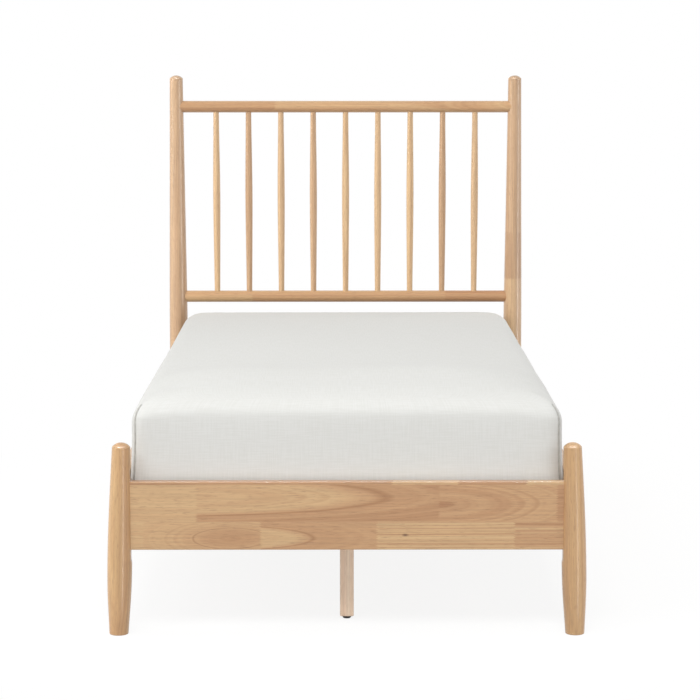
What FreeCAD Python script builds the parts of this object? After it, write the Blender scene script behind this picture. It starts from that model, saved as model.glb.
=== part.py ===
import FreeCAD, Part
import math
import os

from FreeCAD import Vector

# Single platform bed with a spindle headboard, in millimetres, +Z up.
# The origin is on the floor, midway between the four posts. X runs across the bed,
# the foot end is towards -Y and the headboard towards +Y.

# Mattress and fitted sheet, which set the size of the frame
mattress_width = 978.0
mattress_length = 1900.0
mattress_thickness = 222.0
mattress_crown = 14.0  # rise of the middle of the top above its rolled edge
mattress_crown_reach = 330.0  # how far in from the sides the top levels out
mattress_head_fall = 40.0  # the top lies this much lower at the head end than at the foot
mattress_roll = 52.0  # radius of the top edge
mattress_base_roll = 18.0  # radius of the bottom edge
mattress_corner = 36.0  # radius of the upright corners
mattress_side_bulge = 4.0  # the long sides stand out between the pulled-in corners
mattress_end_bulge = 3.0
mattress_side_draw = 1.5  # the sides draw in at half height
side_level_shares = (0.25, 0.5, 0.75, 1)  # levels up the sides
roll_level_shares = (0.2, 0.4, 0.6, 0.8, 1)  # levels round the rolled edge
crown_level_shares = (0.3, 0.65, 1)  # levels in over the crown
sheet_thickness = 1.2
sheet_gap = 0.5
mattress_side_room = 8.3  # between the sheet and a side rail
mattress_end_room = 12.3  # between the sheet and a cross rail

# Deck rails: foot rail, head cross rail and the two side rails
rail_thickness = 22.0
rail_height = 156.0
rail_bottom = 196.0
rail_edge = 2.0  # rounding of the long edges

# Turned posts
foot_post_height = 440.0
head_post_height = 1204.0
foot_splay_deg = 1.4  # the foot posts stand wider at the floor
post_max_diameter = 56.0
post_dome_radius = 26.0
post_dome_edge = 4.0
post_floor_edge = 2.0
# height as a share of the shaft, diameter as a share of the largest
foot_post_shares = (
    (0, 0.773), (0.12, 0.88), (0.23, 0.968), (0.36, 1),
    (0.61, 0.952), (0.82, 0.846), (1, 0.735),
)
head_post_shares = (
    (0, 0.773), (0.05, 0.885), (0.1, 0.96), (0.18, 1), (0.28, 1),
    (0.4, 0.98), (0.58, 0.9), (0.79, 0.798), (1, 0.705),
)

# Flats milled on the posts where the deck rails seat
cross_flat_offset = 23.0  # post axis to the flat of the foot rail or head cross rail
side_flat_offset = 20.0  # post axis to the flat of a side rail
flat_margin = 22.0  # a flat runs on past the rail, above and below
flat_cutter_radius = 25.0

# Round rails and spindles of the headboard
head_rail_diameter = 35.0
head_top_rail_drop = 94.0  # axis of the top rail below the tops of the posts
head_lower_rail_height = 534.0
tenon_diameter = 20.0
tenon_stop = 4.0  # a tenon ends this far short of the post's axis
spindle_count = 9
spindle_end_room = 119.2  # post axis to the first spindle
spindle_end_diameter = 17.0
spindle_max_diameter = 22.0
spindle_socket_depth = 14.0
spindle_shares = ((0.17, 0.86), (0.34, 0.945), (0.51, 1), (0.68, 0.955), (0.84, 0.845))

# Slatted deck
slat_count = 13
slat_width = 70.0
slat_thickness = 15.0
slat_edge = 3.0
slat_end_gap = 3.0
deck_drop = 50.0  # top of the slats below the top of the rails
cleat_width = 20.0
cleat_height = 30.0
cleat_setback = 70.0  # a cleat stops short of the rail's end, clear of the bolt pockets

# Centre beam, its steel hangers and its legs
beam_width = 32.0
beam_height = 60.0
beam_edge = 2.0
bracket_sheet = 2.0
bracket_depth = 40.0
bracket_flange = 22.0
bracket_bend = 3.0
bracket_screw_shares = (0.25, 0.75)  # heights of the screws on a flange
leg_width = 32.0
leg_edge = 3.0
leg_chamfer = 2.0
leg_end_inset = 140.0  # post axis to the axis of the first and last leg

# Screw levellers under the legs
pad_diameter = 20.0
pad_height = 6.5
pad_floor_edge = 2.0
pad_wall = 1.8  # nylon under and over the trapped flange
pad_gap = 0.3  # between a fully screwed-in pad and its leg
flange_diameter = 12.0
flange_gap = 0.2
leveller_travel = 12.0
leveller_spare = 4.0  # thread left above the insert at full travel

# Knock-down bolts, dowels and screws
thread_diameter = 8.0
thread_gap = 0.3
thread_chamfer = 0.8
insert_diameter = 12.0
insert_length = 20.0
stud_height_shares = (0.35, 0.65)  # of the rail's height
stud_proud = 3.0
pocket_diameter = 34.0
pocket_setback = 50.0
pocket_room = 0.5
washer_thickness = 8.0
washer_width = 12.5
nut_flats = 13.0
nut_thickness = 6.5
dowel_diameter = 10.0
dowel_length = 40.0
dowel_height_shares = (0.2, 0.5, 0.8)
leg_bolt_depth = 32.0
screw_head_diameter = 8.0
screw_head_height = 2.2
screw_shank_diameter = 4.0
screw_tip = 4.0
deck_screw_length = 30.0
bracket_screw_length = 16.0

# Clearances
fit_gap = 0.1  # round pieces glued or pressed into bores
cope_gap = 0.15  # round rail ends against the posts
end_gap = 0.5  # bottom of a blind hole past the piece in it
bracket_gap = 0.3
overrun = 5.0  # how far a cutter passes the face it opens
match_tolerance = 0.01

# Places worked out from the sizes above
sheet_build = sheet_gap + sheet_thickness
half_spacing = mattress_width / 2 + sheet_build + mattress_side_room + rail_thickness / 2
half_length = mattress_length / 2 + sheet_build + mattress_end_room + rail_thickness / 2
rail_top = rail_bottom + rail_height
rail_middle = rail_bottom + rail_height / 2
head_top_rail_height = head_post_height - head_top_rail_drop
cross_half = half_spacing - cross_flat_offset
side_half = half_length - side_flat_offset
side_face = half_spacing - rail_thickness / 2
cross_face = half_length - rail_thickness / 2
deck_top = rail_top - deck_drop
slat_bottom = deck_top - slat_thickness
beam_bottom = slat_bottom - beam_height
leg_bottom = pad_height + pad_gap
leveller_reach = insert_length + leveller_travel + leveller_spare
cleat_half = side_half - cleat_setback
slat_pitch = (2 * cleat_half - slat_width) / (slat_count - 1)
slat_places = [index * slat_pitch - cleat_half + slat_width / 2 for index in range(slat_count)]
leg_places = {"foot": leg_end_inset - half_length, "middle": 0, "head": half_length - leg_end_inset}
sides = {"left": -1, "right": 1}
ends = {"foot": -1, "head": 1}
stud_heights = [rail_bottom + share * rail_height for share in stud_height_shares]
dowel_heights = [rail_bottom + share * rail_height for share in dowel_height_shares]
spindle_pitch = 2 * (half_spacing - spindle_end_room) / (spindle_count - 1)
spindle_places = [(index - (spindle_count - 1) / 2) * spindle_pitch for index in range(spindle_count)]
cleat_screw_places = [sum(slat_places[gap : gap + 2]) / 2 for gap in range(1, slat_count - 1, 3)]
thread_radius = thread_diameter / 2
x_axis = Vector(1, 0, 0)
y_axis = Vector(0, 1, 0)
z_axis = Vector(0, 0, 1)


def block(x, y, z):
    low = Vector(min(x), min(y), min(z))
    high = Vector(max(x), max(y), max(z))
    return Part.makeBox(high.x - low.x, high.y - low.y, high.z - low.z, low)


def about(middle, width):
    return (middle - width / 2, middle + width / 2)


def rod(radius, start, end):
    return Part.makeCylinder(radius, end.sub(start).Length, start, end.sub(start))


def edges_along(shape, axis):
    starts = [(edge, edge.tangentAt(edge.FirstParameter)) for edge in shape.Edges]
    return [edge for edge, start in starts if start.cross(axis).Length < match_tolerance]


def edges_at_height(shape, height):
    found = []
    for edge in shape.Edges:
        box = edge.BoundBox
        if max(abs(box.ZMin - height), abs(box.ZMax - height)) < match_tolerance:
            found.append(edge)
    return found


def eased(board, axis, radius):
    return board.makeFillet(radius, edges_along(board, axis))


def lathe(edges):
    return Part.Face(Part.Wire(edges)).revolve(Vector(), z_axis, 360)


def turned(points):
    outline = [Vector(radius, 0, height) for radius, height in points + points[:1]]
    return lathe(Part.makePolygon(outline).Edges)


def along(shape, base, direction):
    shape.Placement = FreeCAD.Placement(base, FreeCAD.Rotation(z_axis, direction))
    return shape


def cut_all(shape, tools):
    return shape.cut(tools).removeSplitter()


# Turned posts

def post_form(height, shares, grow):
    """A turned shaft with a domed top about the Z axis, standing a little below the floor to be trimmed."""
    radii = [share * post_max_diameter / 2 + grow for _, share in shares]
    dome_radius = post_dome_radius + grow
    dome_middle = height + grow - dome_radius
    shoulder = dome_middle + math.sqrt(dome_radius**2 - radii[-1] ** 2)
    points = [Vector(radius, 0, share * shoulder) for radius, (share, _) in zip(radii, shares)]
    shaft = Part.BSplineCurve()
    shaft.interpolate(points)
    low = Vector(0, 0, -overrun)
    low_rim = Vector(radii[0], 0, -overrun)
    crown = Vector(0, 0, height + grow)
    half_angle = math.asin(radii[-1] / dome_radius) / 2
    dome_rise = dome_radius * math.cos(half_angle)
    dome_point = Vector(dome_radius * math.sin(half_angle), 0, dome_middle + dome_rise)
    outline = [
        Part.makeLine(low, low_rim),
        Part.makeLine(low_rim, points[0]),
        shaft.toShape(),
        Part.Arc(points[-1], dome_point, crown).toShape(),
        Part.makeLine(crown, low),
    ]
    post = lathe(outline)
    return post.makeFillet(post_dome_edge, edges_at_height(post, shoulder))


def standing_post(side, end, grow):
    """A post in its place on the floor; the foot posts lean outwards below the rails."""
    if end < 0:
        post = post_form(foot_post_height, foot_post_shares, grow)
    else:
        post = post_form(head_post_height, head_post_shares, grow)
    base = Vector(side * half_spacing, end * half_length, 0)
    post.translate(base)
    if end < 0:
        post.rotate(base + z_axis * rail_middle, y_axis, -side * foot_splay_deg)
    reach = post_max_diameter
    below = block(about(base.x, 2 * reach), about(base.y, 2 * reach), (-2 * overrun, 0))
    return post.cut(below)


def flat_cutter(place, across):
    """A milled flat at depth 0 that runs out in an arc above and below the rail."""
    low = rail_bottom - flat_margin
    high = rail_top + flat_margin
    radius = flat_cutter_radius
    reach = post_max_diameter
    rise = radius * math.sin(math.pi / 4)
    outline = [
        Part.makeLine(place(0, low), place(0, high)),
        Part.Arc(place(0, high), place(radius - rise, high + rise), place(radius, high + radius)).toShape(),
        Part.makeLine(place(radius, high + radius), place(reach, high + radius)),
        Part.makeLine(place(reach, high + radius), place(reach, low - radius)),
        Part.makeLine(place(reach, low - radius), place(radius, low - radius)),
        Part.Arc(place(radius, low - radius), place(radius - rise, low - rise), place(0, low)).toShape(),
    ]
    return Part.Face(Part.Wire(outline)).extrude(across)


def post(side, end):
    reach = post_max_diameter
    axis_x = side * half_spacing
    axis_y = end * half_length
    body = standing_post(side, end, 0)
    body = body.makeFillet(post_floor_edge, edges_at_height(body, 0))

    def cross_flat(depth, height):
        return Vector(side * (cross_half - depth), axis_y - reach, height)

    def side_flat(depth, height):
        return Vector(axis_x - reach, end * (side_half - depth), height)

    cuts = [flat_cutter(cross_flat, y_axis * (2 * reach)), flat_cutter(side_flat, x_axis * (2 * reach))]
    for height in dowel_heights:
        mouth = Vector(side * (cross_half - overrun), axis_y, height)
        floor = Vector(side * (cross_half + dowel_length / 2 + end_gap), axis_y, height)
        cuts.append(rod(dowel_diameter / 2 + fit_gap, mouth, floor))
    for height in stud_heights:
        mouth = Vector(axis_x, end * (side_half - overrun), height)
        floor = Vector(axis_x, end * (side_half + insert_length + end_gap), height)
        cuts.append(rod(insert_diameter / 2 + fit_gap, mouth, floor))
    if end > 0:
        for height in (head_top_rail_height, head_lower_rail_height):
            mouth = Vector(side * (half_spacing - reach), axis_y, height)
            floor = Vector(side * (half_spacing - tenon_stop + end_gap), axis_y, height)
            cuts.append(rod(tenon_diameter / 2 + fit_gap, mouth, floor))
    return cut_all(body, cuts)


# Headboard rails and spindles

def head_rail(height, socket_side):
    """A round rail coped to both posts, with a round tenon at each end and a row of spindle sockets."""
    middle = Vector(0, half_length, height)
    bar_reach = x_axis * half_spacing
    tenon_reach = x_axis * (half_spacing - tenon_stop)
    bar = rod(head_rail_diameter / 2, middle - bar_reach, middle + bar_reach)
    bar = bar.cut([standing_post(side, 1, cope_gap) for side in sides.values()])
    bar = bar.fuse(rod(tenon_diameter / 2, middle - tenon_reach, middle + tenon_reach))
    crest = head_rail_diameter / 2
    floor = height + socket_side * (crest - spindle_socket_depth - end_gap)
    mouth = height + socket_side * (crest + overrun)
    radius = spindle_end_diameter / 2 + fit_gap
    sockets = []
    for place in spindle_places:
        sockets.append(rod(radius, Vector(place, half_length, floor), Vector(place, half_length, mouth)))
    return cut_all(bar, sockets)


def spindle(place):
    low_crest = head_lower_rail_height + head_rail_diameter / 2
    high_crest = head_top_rail_height - head_rail_diameter / 2
    low = low_crest - spindle_socket_depth
    high = high_crest + spindle_socket_depth
    radius = spindle_end_diameter / 2
    span = high_crest - low_crest
    points = [Vector(radius, 0, low_crest)]
    for height_share, diameter_share in spindle_shares:
        swell = diameter_share * spindle_max_diameter / 2
        points.append(Vector(swell, 0, low_crest + height_share * span))
    points.append(Vector(radius, 0, high_crest))
    curve = Part.BSplineCurve()
    curve.interpolate(points)
    body = lathe([
        Part.makeLine(Vector(0, 0, low), Vector(radius, 0, low)),
        Part.makeLine(Vector(radius, 0, low), points[0]),
        curve.toShape(),
        Part.makeLine(points[-1], Vector(radius, 0, high)),
        Part.makeLine(Vector(radius, 0, high), Vector(0, 0, high)),
        Part.makeLine(Vector(0, 0, high), Vector(0, 0, low)),
    ])
    body.translate(Vector(place, half_length, 0))
    return body


# Screws, studs and dowels

def screw_form(length, grow, rise):
    head = screw_head_diameter / 2 + grow
    shank = screw_shank_diameter / 2 + grow
    points = [(0, -rise), (head, -rise)]
    if rise:
        points.append((head, 0))
    return turned(points + [(shank, screw_head_height), (shank, length - screw_tip), (0, length + grow)])


def screws(places, length):
    return [along(screw_form(length, 0, 0), base, direction) for base, direction in places]


def screw_holes(places, length):
    return [along(screw_form(length, fit_gap, overrun), base, direction) for base, direction in places]


def threaded_rod(start, end):
    length = end.sub(start).Length
    tip = thread_radius - thread_chamfer
    start_tip = [(0, 0), (tip, 0), (thread_radius, thread_chamfer)]
    end_tip = [(thread_radius, length - thread_chamfer), (tip, length), (0, length)]
    return along(turned(start_tip + end_tip), start, end.sub(start))


def insert_nut(base, direction):
    inner = thread_radius + thread_gap
    outer = insert_diameter / 2
    sleeve = turned([(inner, 0), (outer, 0), (outer, insert_length), (inner, insert_length)])
    return along(sleeve, base, direction)


def cleat_screw_holders(side):
    face = side * (side_face - cleat_width)
    height = slat_bottom - cleat_height / 2
    return [(Vector(face, place, height), x_axis * side) for place in cleat_screw_places]


def slat_screw_holders(side):
    middle = side * (side_face - cleat_width / 2)
    return [(Vector(middle, place, deck_top), -z_axis) for place in slat_places]


def bracket_screw_holders(end):
    across = beam_width / 2 + bracket_gap + bracket_sheet + bracket_flange / 2
    face = end * (cross_face - bracket_sheet)
    holders = []
    for side in sides.values():
        for share in bracket_screw_shares:
            base = Vector(side * across, face, beam_bottom + share * beam_height)
            holders.append((base, y_axis * end))
    return holders


# Deck rails, cleats and slats

def cross_rail(end):
    thickness = about(end * half_length, rail_thickness)
    board = block((-cross_half, cross_half), thickness, (rail_bottom, rail_top))
    board = eased(board, x_axis, rail_edge)
    cuts = screw_holes(bracket_screw_holders(end), bracket_screw_length)
    for side in sides.values():
        for height in dowel_heights:
            mouth = Vector(side * (cross_half + overrun), end * half_length, height)
            floor = Vector(side * (cross_half - dowel_length / 2 - end_gap), end * half_length, height)
            cuts.append(rod(dowel_diameter / 2 + fit_gap, floor, mouth))
    return cut_all(board, cuts)


def pocket_middle(side, end, height):
    return Vector(side * half_spacing, end * (side_half - pocket_setback), height)


def side_rail(side):
    thickness = about(side * half_spacing, rail_thickness)
    board = block(thickness, (-side_half, side_half), (rail_bottom, rail_top))
    board = eased(board, y_axis, rail_edge)
    cuts = screw_holes(cleat_screw_holders(side), deck_screw_length)
    pocket_floor = nut_flats / 2 + pocket_room
    for end in ends.values():
        for height in stud_heights:
            middle = pocket_middle(side, end, height)
            mouth = middle - x_axis * side * (rail_thickness / 2 + overrun)
            rail_end = middle + y_axis * end * (pocket_setback + overrun)
            cuts.append(rod(pocket_diameter / 2, mouth, middle + x_axis * side * pocket_floor))
            cuts.append(rod(thread_radius + thread_gap, middle, rail_end))
    return cut_all(board, cuts)


def cleat(side):
    across = (side * side_face, side * (side_face - cleat_width))
    strip = block(across, (-cleat_half, cleat_half), (slat_bottom - cleat_height, slat_bottom))
    cuts = screw_holes(cleat_screw_holders(side), deck_screw_length)
    return cut_all(strip, cuts + screw_holes(slat_screw_holders(side), deck_screw_length))


def slat(place):
    half = side_face - slat_end_gap
    board = block((-half, half), about(place, slat_width), (slat_bottom, deck_top))
    holders = []
    for side in sides.values():
        holders += [holder for holder in slat_screw_holders(side) if holder[0].y == place]
    return cut_all(eased(board, x_axis, slat_edge), screw_holes(holders, deck_screw_length))


# Centre beam, hangers, legs and levellers

def centre_beam():
    half = cross_face - bracket_sheet
    beam = eased(block(about(0, beam_width), (-half, half), (beam_bottom, slat_bottom)), y_axis, beam_edge)
    depth = max(insert_length, leg_bolt_depth) + end_gap
    cuts = []
    for place in leg_places.values():
        base = Vector(0, place, beam_bottom)
        mouth = base - z_axis * overrun
        cuts.append(rod(insert_diameter / 2 + fit_gap, mouth, base + z_axis * insert_length))
        cuts.append(rod(thread_radius + thread_gap, base, base + z_axis * depth))
    return cut_all(beam, cuts)


def beam_bracket(end):
    """A bent steel hanger: a back plate on the cross rail and a U-shaped seat for the beam's end."""
    inner = beam_width / 2 + bracket_gap
    outer = inner + bracket_sheet
    back = end * cross_face
    front = end * (cross_face - bracket_depth)
    seat = block((-outer, outer), (back, front), (beam_bottom - bracket_sheet, slat_bottom))
    seat_edges = [edge for edge in edges_along(seat, y_axis) if edge.BoundBox.ZMax < beam_bottom]
    seat = seat.makeFillet(bracket_bend, seat_edges)
    hollow_depth = (back, front - end * overrun)
    hollow_height = (beam_bottom, slat_bottom + overrun)
    seat = seat.cut(block((-inner, inner), hollow_depth, hollow_height))
    wing = outer + bracket_flange
    plate_y = (back, end * (cross_face - bracket_sheet))
    plate = block((-wing, wing), plate_y, (beam_bottom - bracket_sheet, slat_bottom))
    plate = plate.makeFillet(bracket_bend, edges_along(plate, y_axis))
    return cut_all(plate.fuse(seat), screw_holes(bracket_screw_holders(end), bracket_screw_length))


def centre_leg(place):
    leg = block(about(0, leg_width), about(place, leg_width), (leg_bottom, beam_bottom))
    leg = eased(leg, z_axis, leg_edge)
    leg = leg.makeChamfer(leg_chamfer, edges_at_height(leg, leg_bottom))
    low = Vector(0, place, leg_bottom)
    high = Vector(0, place, beam_bottom)
    stud_room = low + z_axis * (leveller_reach + end_gap)
    return cut_all(leg, [
        rod(insert_diameter / 2 + fit_gap, low - z_axis * overrun, low + z_axis * insert_length),
        rod(thread_radius + thread_gap, low, stud_room),
        rod(thread_radius + fit_gap, high - z_axis * (leg_bolt_depth + end_gap), high + z_axis * overrun),
    ])


def leveller_pad(place):
    """A nylon foot with a closed cavity that traps the flange of its stud."""
    outer = pad_diameter / 2
    cavity = flange_diameter / 2 + thread_gap
    neck = thread_radius + thread_gap
    low_rim = (outer - pad_floor_edge, 0)
    pad = turned([(0, 0), low_rim, (outer, pad_floor_edge), (outer, pad_height), (0, pad_height)])
    pad = pad.cut(rod(cavity, z_axis * pad_wall, z_axis * (pad_height - pad_wall)))
    pad = pad.cut(rod(neck, z_axis * pad_wall, z_axis * (pad_height + overrun)))
    pad.translate(Vector(0, place, 0))
    return pad


def leveller_stud(place):
    flange = flange_diameter / 2
    low = pad_wall + flange_gap
    high = pad_height - pad_wall - flange_gap
    top = leg_bottom + leveller_reach
    tip = thread_radius - thread_chamfer
    shank = [(thread_radius, high), (thread_radius, top - thread_chamfer), (tip, top), (0, top)]
    stud = turned([(0, low), (flange, low), (flange, high)] + shank)
    stud.translate(Vector(0, place, 0))
    return stud


# Groups of like fasteners

def insert_nuts():
    nuts = []
    for side in sides.values():
        for end in ends.values():
            for height in stud_heights:
                nuts.append(insert_nut(Vector(side * half_spacing, end * side_half, height), y_axis * end))
    for place in leg_places.values():
        nuts.append(insert_nut(Vector(0, place, leg_bottom), z_axis))
        nuts.append(insert_nut(Vector(0, place, beam_bottom), z_axis))
    return nuts


def half_moon_washer(middle, end):
    """A segment of the pocket's circle with a flat for the nut and a hole for the stud."""
    radius = pocket_diameter / 2 - fit_gap
    reach = x_axis * (washer_width / 2)
    disc = rod(radius, middle - reach, middle + reach)
    flat = middle.y + end * (radius - washer_thickness)
    depth = (flat, flat + end * radius)
    keep = block(about(middle.x, washer_width), depth, about(middle.z, pocket_diameter))
    hole = rod(thread_radius + thread_gap, middle, middle + y_axis * end * pocket_diameter)
    return disc.common(keep).cut(hole)


def rail_nut(middle, end):
    face = middle.y + end * (pocket_diameter / 2 - fit_gap - washer_thickness)
    corner = nut_flats / 2 / math.cos(math.pi / 6)
    ring = []
    for index in range(7):
        turn = math.pi / 6 + index * math.pi / 3
        ring.append(Vector(middle.x + corner * math.cos(turn), face, middle.z + corner * math.sin(turn)))
    nut = Part.Face(Part.makePolygon(ring)).extrude(y_axis * (-end * nut_thickness))
    start = Vector(middle.x, face + end * overrun, middle.z)
    through = y_axis * end * (nut_thickness + 2 * overrun)
    return nut.cut(rod(thread_radius + thread_gap, start, start - through))


def rail_stud(middle, end):
    outer = middle.y + end * (pocket_setback + insert_length)
    inner = middle.y + end * (pocket_diameter / 2 - fit_gap - washer_thickness - nut_thickness - stud_proud)
    return threaded_rod(Vector(middle.x, inner, middle.z), Vector(middle.x, outer, middle.z))


def cross_rail_dowels():
    dowels = []
    for side in sides.values():
        for end in ends.values():
            for height in dowel_heights:
                middle = Vector(side * cross_half, end * half_length, height)
                reach = x_axis * (dowel_length / 2)
                dowels.append(rod(dowel_diameter / 2, middle - reach, middle + reach))
    return dowels


def leg_bolts():
    reach = z_axis * leg_bolt_depth
    joints = [Vector(0, place, beam_bottom) for place in leg_places.values()]
    return [threaded_rod(joint - reach, joint + reach) for joint in joints]


# Mattress and fitted sheet

def mattress_outline(inset, height, lean):
    """The plan of the mattress at one height: four bowed sides joined by four corner arcs.

    The lean is how far the outline falls for each millimetre towards the head end.
    """
    side_x = mattress_width / 2 - inset
    end_y = mattress_length / 2 - inset
    corner_x = side_x - mattress_side_bulge
    corner_y = end_y - mattress_end_bulge
    radius = mattress_corner
    bow = radius * math.sin(math.pi / 4)
    bow_x = corner_x - radius + bow
    bow_y = corner_y - radius + bow

    def arc(*plan_points):
        return Part.Arc(*[Vector(x, y, height - lean * y) for x, y in plan_points]).toShape()

    edges = []
    for turn_x, turn_y in ((1, 1), (-1, -1)):
        side_start = (turn_x * corner_x, turn_y * (radius - corner_y))
        side_end = (turn_x * corner_x, turn_y * (corner_y - radius))
        first_corner = (turn_x * bow_x, turn_y * bow_y)
        end_start = (turn_x * (corner_x - radius), turn_y * corner_y)
        end_end = (turn_x * (radius - corner_x), turn_y * corner_y)
        next_corner = (-turn_x * bow_x, turn_y * bow_y)
        next_side = (-turn_x * corner_x, turn_y * (corner_y - radius))
        edges.append(arc(side_start, (turn_x * side_x, 0), side_end))
        edges.append(arc(side_end, first_corner, end_start))
        edges.append(arc(end_start, (0, turn_y * end_y), end_end))
        edges.append(arc(end_end, next_corner, next_side))
    return Part.Wire(edges)


def mattress_form(base_levels, grow):
    """A crowned slab with drawn-in sides and a rolled edge above its base, grown outwards for the sheet.

    Each level holds an inset, a rise and the slope of the surface there, from upright sides to level top.
    """
    edge = mattress_thickness - mattress_crown
    side_height = edge - mattress_roll - mattress_base_roll
    levels = list(base_levels)
    for share in side_level_shares:
        inset = mattress_side_draw * math.sin(math.pi * share)
        levels.append((inset, mattress_base_roll + share * side_height, 0))
    for share in roll_level_shares:
        slope = share * math.pi / 2
        inset = mattress_roll * (1 - math.cos(slope))
        levels.append((inset, edge - mattress_roll * (1 - math.sin(slope)), slope))
    for share in crown_level_shares:
        inset = mattress_roll + share * (mattress_crown_reach - mattress_roll)
        rise = mattress_crown * math.sin(share * math.pi / 2)
        levels.append((inset, edge + rise, math.pi / 2))
    outlines = []
    for inset, rise, slope in levels:
        height = deck_top + rise + grow * math.sin(slope)
        above_base = max(0, rise - mattress_base_roll) / (mattress_thickness - mattress_base_roll)
        lean = above_base * mattress_head_fall / mattress_length
        outlines.append(mattress_outline(inset - grow * math.cos(slope), height, lean))
    return Part.makeLoft(outlines, True, True)


def mattress():
    bevel = mattress_base_roll * (1 - math.sin(math.pi / 4))
    return mattress_form([(mattress_base_roll, 0, 0), (bevel, bevel, 0), (0, mattress_base_roll, 0)], 0)


def fitted_sheet():
    """A thin cover over the top and sides, open below the hem at the foot of the mattress's sides."""
    hem = (0, mattress_base_roll, 0)
    below_hem = (0, mattress_base_roll - overrun, 0)
    return mattress_form([hem], sheet_build).cut(mattress_form([below_hem, hem], sheet_gap))


def build():
    pieces = {}
    for name, side in sides.items():
        pieces["head_post_" + name] = post(side, 1)
        pieces["foot_post_" + name] = post(side, -1)
        pieces["side_rail_" + name] = side_rail(side)
        pieces["cleat_" + name] = cleat(side)
    pieces["head_top_rail"] = head_rail(head_top_rail_height, -1)
    pieces["head_lower_rail"] = head_rail(head_lower_rail_height, 1)
    for number, place in enumerate(spindle_places, 1):
        pieces[f"head_spindle_{number}"] = spindle(place)
    pieces["foot_rail"] = cross_rail(-1)
    pieces["head_cross_rail"] = cross_rail(1)
    for number, place in enumerate(slat_places, 1):
        pieces[f"slat_{number}"] = slat(place)
    pieces["centre_beam"] = centre_beam()
    for name, end in ends.items():
        pieces["beam_bracket_" + name] = beam_bracket(end)
    for name, place in leg_places.items():
        pieces["centre_leg_" + name] = centre_leg(place)
        pieces["leveller_pad_" + name] = leveller_pad(place)
        pieces["leveller_stud_" + name] = leveller_stud(place)
    corners = [(side, end) for side in sides.values() for end in ends.values()]
    pockets = [(pocket_middle(side, end, height), end) for side, end in corners for height in stud_heights]
    deck_holders = []
    for side in sides.values():
        deck_holders += cleat_screw_holders(side) + slat_screw_holders(side)
    bracket_holders = []
    for end in ends.values():
        bracket_holders += bracket_screw_holders(end)
    groups = {
        "insert_nuts": insert_nuts(),
        "half_moon_washers": [half_moon_washer(*pocket) for pocket in pockets],
        "rail_nuts": [rail_nut(*pocket) for pocket in pockets],
        "rail_studs": [rail_stud(*pocket) for pocket in pockets],
        "cross_rail_dowels": cross_rail_dowels(),
        "leg_bolts": leg_bolts(),
        "deck_screws": screws(deck_holders, deck_screw_length),
        "bracket_screws": screws(bracket_holders, bracket_screw_length),
    }
    for name, solids in groups.items():
        pieces[name] = Part.makeCompound(solids)
    pieces["mattress"] = mattress()
    pieces["fitted_sheet"] = fitted_sheet()
    return pieces


os.makedirs("parts", exist_ok=True)
for node, shape in build().items():
    shape.exportStep(f"parts/{node}.step")
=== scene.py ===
import math
import random

import bpy
import numpy as np
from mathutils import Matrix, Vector, noise
from mathutils.bvhtree import BVHTree


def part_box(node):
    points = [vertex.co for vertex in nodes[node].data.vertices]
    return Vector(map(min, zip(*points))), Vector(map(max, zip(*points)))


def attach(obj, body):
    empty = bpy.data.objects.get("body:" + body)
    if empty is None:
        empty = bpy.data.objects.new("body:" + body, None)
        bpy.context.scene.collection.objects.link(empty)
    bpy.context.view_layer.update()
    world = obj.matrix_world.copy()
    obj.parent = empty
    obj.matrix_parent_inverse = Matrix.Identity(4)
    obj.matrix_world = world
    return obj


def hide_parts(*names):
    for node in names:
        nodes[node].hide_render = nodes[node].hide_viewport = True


# Platform bed with a spindle headboard. Metres, +Z up, foot end towards -Y, as in the CAD frame.
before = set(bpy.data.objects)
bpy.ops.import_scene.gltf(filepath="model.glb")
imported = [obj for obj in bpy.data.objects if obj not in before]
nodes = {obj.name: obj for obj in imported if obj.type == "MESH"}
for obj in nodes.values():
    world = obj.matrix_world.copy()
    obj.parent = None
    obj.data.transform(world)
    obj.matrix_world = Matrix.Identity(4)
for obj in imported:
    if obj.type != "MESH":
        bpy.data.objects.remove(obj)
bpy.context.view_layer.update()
legPlaces = ("foot", "middle", "head")
legNames = ["centre_leg_" + place for place in legPlaces]
spindleNames = sorted(name for name in nodes if name.startswith("head_spindle_"))
slatNames = [name for name in nodes if name.startswith("slat_")]
print("frame loaded,", len(nodes), "nodes")


def linearColour(hexCode):
    # an sRGB hex value as the linear colour that shader sockets take
    channels = [int(hexCode[at:at + 2], 16) / 255 for at in (1, 3, 5)]
    return [c / 12.92 if c <= 0.04045 else ((c + 0.055) / 1.055) ** 2.4 for c in channels] + [1.0]


def addNode(tree, kind, settings=None, links=None):
    # settings go to the node's own properties where it has them, and to its sockets otherwise;
    # a link from a node leaves by its first socket
    node = tree.nodes.new(kind)
    for key, value in (settings or {}).items():
        if isinstance(key, str) and hasattr(node, key):
            setattr(node, key, value)
        else:
            node.inputs[key].default_value = value
    for key, source in (links or {}).items():
        start = source.outputs[0] if isinstance(source, bpy.types.Node) else source
        tree.links.new(start, node.inputs[key])
    return node


def spread(before, after):
    # settings that map one span of values onto another
    return dict(zip(("From Min", "From Max", "To Min", "To Max"), (*before, *after)))


def newMaterial(name):
    material = bpy.data.materials.new(name)
    material.use_nodes = True
    material.node_tree.nodes.clear()
    return material, material.node_tree


def finishMaterial(tree, shader):
    addNode(tree, "ShaderNodeOutputMaterial", links={"Surface": shader})


def dress(nodeName, material):
    slots = nodes[nodeName].data.materials
    slots.clear()
    slots.append(material)


def middleOf(nodeName):
    low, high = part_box(nodeName)
    return (low + high) / 2


def addObject(name, data):
    added = bpy.data.objects.new(name, data)
    bpy.context.scene.collection.objects.link(added)
    return added


def meshPiece(name, mesh, body):
    piece = addObject(name, mesh)
    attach(piece, body)
    return piece


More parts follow.
